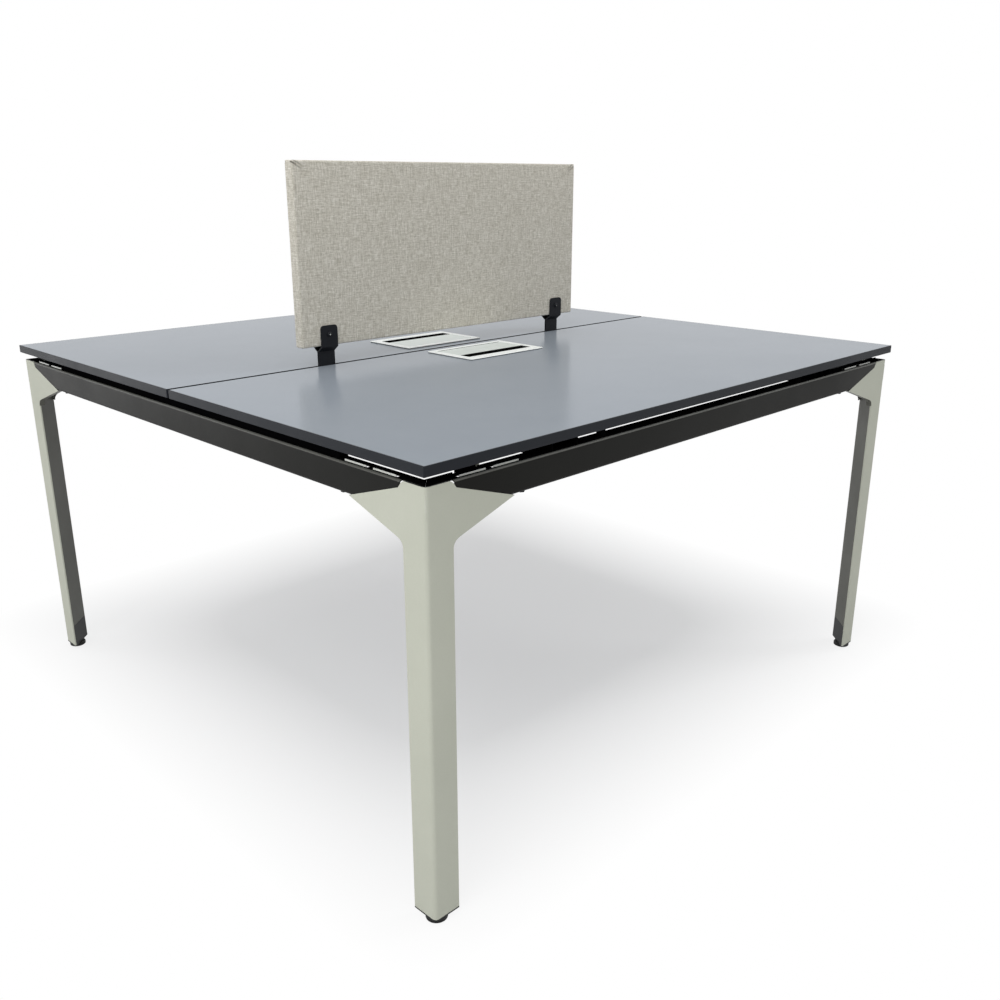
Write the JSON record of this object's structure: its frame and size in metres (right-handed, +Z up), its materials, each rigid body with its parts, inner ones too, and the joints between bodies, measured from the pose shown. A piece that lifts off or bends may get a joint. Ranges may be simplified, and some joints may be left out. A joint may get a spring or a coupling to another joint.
{
  "type": "benching desk",
  "caption": "Benching desk: worktops face to face on a shared beam frame with flared corner legs, a clamped fabric screen along the seam and hinged cable flap boxes.",
  "frame": {"origin": "on the floor, under the middle of the two worktops", "axes": "+X along the seam to the right as seen from the near user, +Y to the far user, +Z up"},
  "size_m": [1.4, 1.406, 1.14],
  "materials": {
    "laminate": "satin grey-blue melamine face on particle board",
    "edging": "dark grey plastic edge band, lightly textured",
    "pale_coat": "pale warm grey powder coat, fine texture",
    "dark_coat": "dark warm grey powder coat, fine texture",
    "black_coat": "black powder coat",
    "black_plastic": "matt black moulded plastic",
    "zinc_steel": "zinc-plated steel",
    "frame_aluminium": "pale satin anodised aluminium",
    "lid_aluminium": "lightly brushed satin aluminium",
    "fabric": "beige-grey melange woven fabric"
  },
  "bodies": {
    "desk": {"leg_near_left": "pale_coat", "leg_cover_near_left": "dark_coat", "end_cap_near_left": "black_plastic", "arm_bolt_near_left_a": "zinc_steel", "arm_bolt_near_left_b": "zinc_steel", "leg_near_right": "pale_coat", "leg_cover_near_right": "dark_coat", "end_cap_near_right": "black_plastic", "arm_bolt_near_right_a": "zinc_steel", "arm_bolt_near_right_b": "zinc_steel", "leg_far_right": "pale_coat", "leg_cover_far_right": "dark_coat", "end_cap_far_right": "black_plastic", "arm_bolt_far_right_a": "zinc_steel", "arm_bolt_far_right_b": "zinc_steel", "leg_far_left": "pale_coat", "leg_cover_far_left": "dark_coat", "end_cap_far_left": "black_plastic", "arm_bolt_far_left_a": "zinc_steel", "arm_bolt_far_left_b": "zinc_steel", "beam_near": "dark_coat", "beam_right": "dark_coat", "beam_far": "dark_coat", "beam_left": "dark_coat", "worktop_far": "laminate", "edge_band_far": "edging", "flap_well_far": "black_plastic", "flap_frame_far": "frame_aluminium", "flap_hinge_pin_far": "zinc_steel", "worktop_clip_far_left": "black_coat", "screen_clamp_far_left": "black_coat", "clamp_screw_far_left": "zinc_steel", "worktop_clip_far_right": "black_coat", "screen_clamp_far_right": "black_coat", "clamp_screw_far_right": "zinc_steel", "worktop_near": "laminate", "edge_band_near": "edging", "flap_well_near": "black_plastic", "flap_frame_near": "frame_aluminium", "flap_hinge_pin_near": "zinc_steel", "worktop_clip_near_left": "black_coat", "screen_clamp_near_left": "black_coat", "clamp_screw_near_left": "zinc_steel", "worktop_clip_near_right": "black_coat", "screen_clamp_near_right": "black_coat", "clamp_screw_near_right": "zinc_steel", "screen_panel": "fabric", "screen_bolt_left": "black_coat", "bearer_left": "dark_coat", "side_strip_left": "black_plastic", "screen_bolt_right": "black_coat", "bearer_right": "dark_coat", "side_strip_right": "black_plastic"},
    "lid_far": {"flap_lid_far": "lid_aluminium"},
    "lid_near": {"flap_lid_near": "lid_aluminium"},
    "foot_near_left": {"levelling_foot_near_left": "black_plastic"},
    "foot_near_right": {"levelling_foot_near_right": "black_plastic"},
    "foot_far_right": {"levelling_foot_far_right": "black_plastic"},
    "foot_far_left": {"levelling_foot_far_left": "black_plastic"}
  },
  "joints": [
    {"name": "lid_far_hinge", "type": "hinge", "parent": "desk", "child": "lid_far", "pos_m": [0, 0.0493, 0.7493], "axis": [1, 0, 0], "range_deg": [0, 100]},
    {"name": "lid_near_hinge", "type": "hinge", "parent": "desk", "child": "lid_near", "pos_m": [0, -0.0493, 0.7493], "axis": [-1, 0, 0], "range_deg": [0, 100]},
    {"name": "foot_near_left_screw", "type": "slide", "parent": "desk", "child": "foot_near_left", "axis": [0, 0, -1], "range_m": [0, 0.015]},
    {"name": "foot_near_right_screw", "type": "slide", "parent": "desk", "child": "foot_near_right", "axis": [0, 0, -1], "range_m": [0, 0.015]},
    {"name": "foot_far_right_screw", "type": "slide", "parent": "desk", "child": "foot_far_right", "axis": [0, 0, -1], "range_m": [0, 0.015]},
    {"name": "foot_far_left_screw", "type": "slide", "parent": "desk", "child": "foot_far_left", "axis": [0, 0, -1], "range_m": [0, 0.015]}
  ]
}
